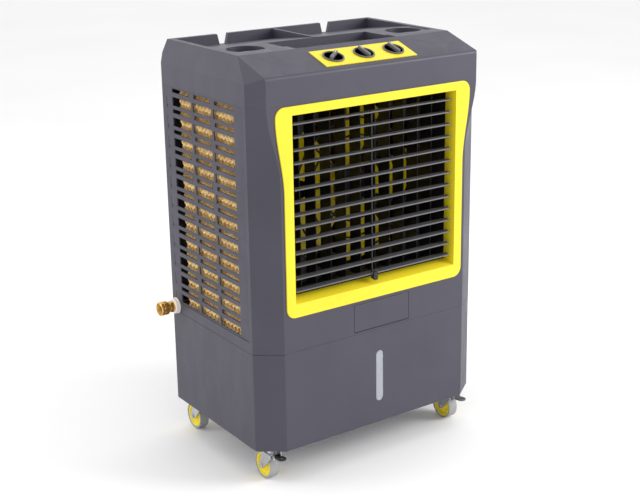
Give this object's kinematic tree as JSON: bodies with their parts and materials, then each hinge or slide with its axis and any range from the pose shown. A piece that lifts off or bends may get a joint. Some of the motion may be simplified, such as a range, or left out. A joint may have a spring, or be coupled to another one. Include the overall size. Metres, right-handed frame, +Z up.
{
  "type": "evaporative cooler",
  "caption": "Portable evaporative air cooler: cabinet on a water tank with casters, front louvres, side pads, top tray and rotary controls.",
  "frame": {"origin": "on the floor under the middle of the whole cooler, hose connector included", "axes": "+Z up, -Y towards the air outlet, +X to the right seen from the front"},
  "size_m": [0.657, 0.4205, 0.949],
  "materials": {
    "body_grey": "fine moulded texture",
    "accent_yellow": "smooth moulded",
    "black_plastic": "satin moulded",
    "louvre_grey": "satin moulded",
    "knob_grey": "satin moulded",
    "pad": "stiff corrugated cellulose",
    "motor_steel": "satin enamel",
    "zinc": "bright zinc plate",
    "wheel": "grey rubber tread on a yellow core",
    "brass": "turned brass",
    "white_plastic": "moulded nylon",
    "clear_plastic": "frosted translucent strip",
    "hose": "flexible hose and moulded trough"
  },
  "bodies": {
    "cooler": {"base_tank": "body_grey", "cabinet": "body_grey", "top_cover": "body_grey", "outlet_bezel": "accent_yellow", "control_plate": "accent_yellow", "level_window": "clear_plastic", "intake_grilles": "body_grey", "cooling_pads": "pad", "fan_motor": "motor_steel", "fan_shroud": "black_plastic", "pump": "black_plastic", "water_feed": "hose", "float_valve": "white_plastic", "hose_connector": "brass", "caster_plates": "zinc", "drain_plug": "body_grey", "swing_motor": "motor_steel", "screws": "zinc"},
    "fill_door": {"fill_door": "body_grey"},
    "fan_rotor": {"fan_rotor": "accent_yellow"},
    "float_arm": {"float_arm": "white_plastic"},
    "speed_knob": {"speed_knob": "knob_grey"},
    "pump_knob": {"pump_knob": "knob_grey"},
    "swing_knob": {"swing_knob": "knob_grey"},
    "louvre_bar": {"louvre_bar": "black_plastic"},
    "vane_bar": {"vane_bar": "black_plastic"},
    "louvre_01": {"louvre_01": "louvre_grey"},
    "louvre_02": {"louvre_02": "louvre_grey"},
    "louvre_03": {"louvre_03": "louvre_grey"},
    "louvre_04": {"louvre_04": "louvre_grey"},
    "louvre_05": {"louvre_05": "louvre_grey"},
    "louvre_06": {"louvre_06": "louvre_grey"},
    "louvre_07": {"louvre_07": "louvre_grey"},
    "louvre_08": {"louvre_08": "louvre_grey"},
    "louvre_09": {"louvre_09": "louvre_grey"},
    "louvre_10": {"louvre_10": "louvre_grey"},
    "louvre_11": {"louvre_11": "louvre_grey"},
    "louvre_12": {"louvre_12": "louvre_grey"},
    "louvre_13": {"louvre_13": "louvre_grey"},
    "louvre_14": {"louvre_14": "louvre_grey"},
    "vane_01": {"vane_01": "black_plastic"},
    "vane_02": {"vane_02": "black_plastic"},
    "vane_03": {"vane_03": "black_plastic"},
    "vane_04": {"vane_04": "black_plastic"},
    "vane_05": {"vane_05": "black_plastic"},
    "vane_06": {"vane_06": "black_plastic"},
    "vane_07": {"vane_07": "black_plastic"},
    "vane_08": {"vane_08": "black_plastic"},
    "vane_09": {"vane_09": "black_plastic"},
    "vane_10": {"vane_10": "black_plastic"},
    "caster_fork_front_left": {"caster_fork_front_left": "zinc"},
    "caster_wheel_front_left": {"caster_wheel_front_left": "wheel"},
    "caster_fork_front_right": {"caster_fork_front_right": "zinc"},
    "caster_wheel_front_right": {"caster_wheel_front_right": "wheel"},
    "caster_fork_rear_left": {"caster_fork_rear_left": "zinc"},
    "caster_wheel_rear_left": {"caster_wheel_rear_left": "wheel"},
    "caster_fork_rear_right": {"caster_fork_rear_right": "zinc"},
    "caster_wheel_rear_right": {"caster_wheel_rear_right": "wheel"},
    "brake_pedal_front_left": {"brake_pedal_front_left": "black_plastic"},
    "brake_pedal_front_right": {"brake_pedal_front_right": "knob_grey"}
  },
  "joints": [
    {"name": "speed_knob_turn", "type": "hinge", "parent": "cooler", "child": "speed_knob", "pos_m": [-0.0565, -0.15662, 0.93251], "axis": [0, -0.3121, 0.9501], "range_deg": [-35, 105]},
    {"name": "pump_knob_turn", "type": "hinge", "parent": "cooler", "child": "pump_knob", "pos_m": [0.0235, -0.15662, 0.93251], "axis": [0, -0.3121, 0.9501], "range_deg": [-90, 0]},
    {"name": "swing_knob_turn", "type": "hinge", "parent": "cooler", "child": "swing_knob", "pos_m": [0.1035, -0.15662, 0.93251], "axis": [0, -0.3121, 0.9501], "range_deg": [-90, 0]},
    {"name": "fill_door_hinge", "type": "hinge", "parent": "cooler", "child": "fill_door", "pos_m": [0.0355, -0.2015, 0.3227], "axis": [1, 0, 0], "range_deg": [0, 80]},
    {"name": "fan_spin", "type": "hinge", "parent": "cooler", "child": "fan_rotor", "pos_m": [0.0235, -0.102, 0.628], "axis": [0, -1, 0], "continuous": true},
    {"name": "float_swing", "type": "hinge", "parent": "cooler", "child": "float_arm", "pos_m": [-0.2335, 0.175, 0.317], "axis": [0, -1, 0], "range_deg": [0, 34]},
    {"name": "louvre_tilt", "type": "hinge", "parent": "cooler", "child": "louvre_07", "pos_m": [0.0235, -0.184, 0.64204], "axis": [1, 0, 0], "range_deg": [-25, 35]},
    {"name": "louvre_01_tilt", "type": "hinge", "parent": "cooler", "child": "louvre_01", "pos_m": [0.0235, -0.184, 0.8105], "axis": [1, 0, 0], "range_deg": [-25, 35]},
    {"name": "louvre_02_tilt", "type": "hinge", "parent": "cooler", "child": "louvre_02", "pos_m": [0.0235, -0.184, 0.78242], "axis": [1, 0, 0], "range_deg": [-25, 35]},
    {"name": "louvre_03_tilt", "type": "hinge", "parent": "cooler", "child": "louvre_03", "pos_m": [0.0235, -0.184, 0.75435], "axis": [1, 0, 0], "range_deg": [-25, 35]},
    {"name": "louvre_04_tilt", "type": "hinge", "parent": "cooler", "child": "louvre_04", "pos_m": [0.0235, -0.184, 0.72627], "axis": [1, 0, 0], "range_deg": [-25, 35]},
    {"name": "louvre_05_tilt", "type": "hinge", "parent": "cooler", "child": "louvre_05", "pos_m": [0.0235, -0.184, 0.69819], "axis": [1, 0, 0], "range_deg": [-25, 35]},
    {"name": "louvre_06_tilt", "type": "hinge", "parent": "cooler", "child": "louvre_06", "pos_m": [0.0235, -0.184, 0.67012], "axis": [1, 0, 0], "range_deg": [-25, 35]},
    {"name": "louvre_08_tilt", "type": "hinge", "parent": "cooler", "child": "louvre_08", "pos_m": [0.0235, -0.184, 0.61396], "axis": [1, 0, 0], "range_deg": [-25, 35]},
    {"name": "louvre_09_tilt", "type": "hinge", "parent": "cooler", "child": "louvre_09", "pos_m": [0.0235, -0.184, 0.58588], "axis": [1, 0, 0], "range_deg": [-25, 35]},
    {"name": "louvre_10_tilt", "type": "hinge", "parent": "cooler", "child": "louvre_10", "pos_m": [0.0235, -0.184, 0.55781], "axis": [1, 0, 0], "range_deg": [-25, 35]},
    {"name": "louvre_11_tilt", "type": "hinge", "parent": "cooler", "child": "louvre_11", "pos_m": [0.0235, -0.184, 0.52973], "axis": [1, 0, 0], "range_deg": [-25, 35]},
    {"name": "louvre_12_tilt", "type": "hinge", "parent": "cooler", "child": "louvre_12", "pos_m": [0.0235, -0.184, 0.50165], "axis": [1, 0, 0], "range_deg": [-25, 35]},
    {"name": "louvre_13_tilt", "type": "hinge", "parent": "cooler", "child": "louvre_13", "pos_m": [0.0235, -0.184, 0.47358], "axis": [1, 0, 0], "range_deg": [-25, 35]},
    {"name": "louvre_14_tilt", "type": "hinge", "parent": "cooler", "child": "louvre_14", "pos_m": [0.0235, -0.184, 0.4455], "axis": [1, 0, 0], "range_deg": [-25, 35]},
    {"name": "louvre_bar_pivot", "type": "hinge", "parent": "louvre_07", "child": "louvre_bar", "pos_m": [0.0175, -0.19097, 0.64265], "axis": [1, 0, 0], "range_deg": [-35, 25]},
    {"name": "vane_swing", "type": "hinge", "parent": "cooler", "child": "vane_05", "pos_m": [0.0035, -0.151, 0.628], "axis": [0, 0, 1], "range_deg": [-30, 30]},
    {"name": "vane_01_swing", "type": "hinge", "parent": "cooler", "child": "vane_01", "pos_m": [-0.1565, -0.151, 0.628], "axis": [0, 0, 1], "range_deg": [-30, 30]},
    {"name": "vane_02_swing", "type": "hinge", "parent": "cooler", "child": "vane_02", "pos_m": [-0.1165, -0.151, 0.628], "axis": [0, 0, 1], "range_deg": [-30, 30]},
    {"name": "vane_03_swing", "type": "hinge", "parent": "cooler", "child": "vane_03", "pos_m": [-0.0765, -0.151, 0.628], "axis": [0, 0, 1], "range_deg": [-30, 30]},
    {"name": "vane_04_swing", "type": "hinge", "parent": "cooler", "child": "vane_04", "pos_m": [-0.0365, -0.151, 0.628], "axis": [0, 0, 1], "range_deg": [-30, 30]},
    {"name": "vane_06_swing", "type": "hinge", "parent": "cooler", "child": "vane_06", "pos_m": [0.0435, -0.151, 0.628], "axis": [0, 0, 1], "range_deg": [-30, 30]},
    {"name": "vane_07_swing", "type": "hinge", "parent": "cooler", "child": "vane_07", "pos_m": [0.0835, -0.151, 0.628], "axis": [0, 0, 1], "range_deg": [-30, 30]},
    {"name": "vane_08_swing", "type": "hinge", "parent": "cooler", "child": "vane_08", "pos_m": [0.1235, -0.151, 0.628], "axis": [0, 0, 1], "range_deg": [-30, 30]},
    {"name": "vane_09_swing", "type": "hinge", "parent": "cooler", "child": "vane_09", "pos_m": [0.1635, -0.151, 0.628], "axis": [0, 0, 1], "range_deg": [-30, 30]},
    {"name": "vane_10_swing", "type": "hinge", "parent": "cooler", "child": "vane_10", "pos_m": [0.2035, -0.151, 0.628], "axis": [0, 0, 1], "range_deg": [-30, 30]},
    {"name": "vane_bar_pivot", "type": "hinge", "parent": "vane_05", "child": "vane_bar", "pos_m": [0.0035, -0.133, 0.818], "axis": [0, 0, 1], "range_deg": [-30, 30]},
    {"name": "swivel_front_left", "type": "hinge", "parent": "cooler", "child": "caster_fork_front_left", "pos_m": [-0.2365, -0.157, 0.084], "axis": [0, 0, 1], "continuous": true},
    {"name": "roll_front_left", "type": "hinge", "parent": "caster_fork_front_left", "child": "caster_wheel_front_left", "pos_m": [-0.2365, -0.135, 0.032], "axis": [1, 0, 0], "continuous": true},
    {"name": "brake_front_left", "type": "hinge", "parent": "caster_fork_front_left", "child": "brake_pedal_front_left", "pos_m": [-0.2365, -0.177, 0.065], "axis": [1, 0, 0], "range_deg": [0, 16]},
    {"name": "swivel_front_right", "type": "hinge", "parent": "cooler", "child": "caster_fork_front_right", "pos_m": [0.2835, -0.157, 0.084], "axis": [0, 0, 1], "continuous": true},
    {"name": "roll_front_right", "type": "hinge", "parent": "caster_fork_front_right", "child": "caster_wheel_front_right", "pos_m": [0.2835, -0.135, 0.032], "axis": [1, 0, 0], "continuous": true},
    {"name": "brake_front_right", "type": "hinge", "parent": "caster_fork_front_right", "child": "brake_pedal_front_right", "pos_m": [0.2835, -0.177, 0.065], "axis": [1, 0, 0], "range_deg": [0, 16]},
    {"name": "swivel_rear_left", "type": "hinge", "parent": "cooler", "child": "caster_fork_rear_left", "pos_m": [-0.2365, 0.157, 0.084], "axis": [0, 0, 1], "continuous": true},
    {"name": "roll_rear_left", "type": "hinge", "parent": "caster_fork_rear_left", "child": "caster_wheel_rear_left", "pos_m": [-0.2365, 0.179, 0.032], "axis": [1, 0, 0], "continuous": true},
    {"name": "swivel_rear_right", "type": "hinge", "parent": "cooler", "child": "caster_fork_rear_right", "pos_m": [0.2835, 0.157, 0.084], "axis": [0, 0, 1], "continuous": true},
    {"name": "roll_rear_right", "type": "hinge", "parent": "caster_fork_rear_right", "child": "caster_wheel_rear_right", "pos_m": [0.2835, 0.179, 0.032], "axis": [1, 0, 0], "continuous": true}
  ],
  "couplings": [
    {"joint": "louvre_01_tilt", "follows": "louvre_tilt", "ratio": 1},
    {"joint": "louvre_02_tilt", "follows": "louvre_tilt", "ratio": 1},
    {"joint": "louvre_03_tilt", "follows": "louvre_tilt", "ratio": 1},
    {"joint": "louvre_04_tilt", "follows": "louvre_tilt", "ratio": 1},
    {"joint": "louvre_05_tilt", "follows": "louvre_tilt", "ratio": 1},
    {"joint": "louvre_06_tilt", "follows": "louvre_tilt", "ratio": 1},
    {"joint": "louvre_08_tilt", "follows": "louvre_tilt", "ratio": 1},
    {"joint": "louvre_09_tilt", "follows": "louvre_tilt", "ratio": 1},
    {"joint": "louvre_10_tilt", "follows": "louvre_tilt", "ratio": 1},
    {"joint": "louvre_11_tilt", "follows": "louvre_tilt", "ratio": 1},
    {"joint": "louvre_12_tilt", "follows": "louvre_tilt", "ratio": 1},
    {"joint": "louvre_13_tilt", "follows": "louvre_tilt", "ratio": 1},
    {"joint": "louvre_14_tilt", "follows": "louvre_tilt", "ratio": 1},
    {"joint": "louvre_bar_pivot", "follows": "louvre_tilt", "ratio": -1},
    {"joint": "vane_01_swing", "follows": "vane_swing", "ratio": 1},
    {"joint": "vane_02_swing", "follows": "vane_swing", "ratio": 1},
    {"joint": "vane_03_swing", "follows": "vane_swing", "ratio": 1},
    {"joint": "vane_04_swing", "follows": "vane_swing", "ratio": 1},
    {"joint": "vane_06_swing", "follows": "vane_swing", "ratio": 1},
    {"joint": "vane_07_swing", "follows": "vane_swing", "ratio": 1},
    {"joint": "vane_08_swing", "follows": "vane_swing", "ratio": 1},
    {"joint": "vane_09_swing", "follows": "vane_swing", "ratio": 1},
    {"joint": "vane_10_swing", "follows": "vane_swing", "ratio": 1},
    {"joint": "vane_bar_pivot", "follows": "vane_swing", "ratio": -1}
  ]
}
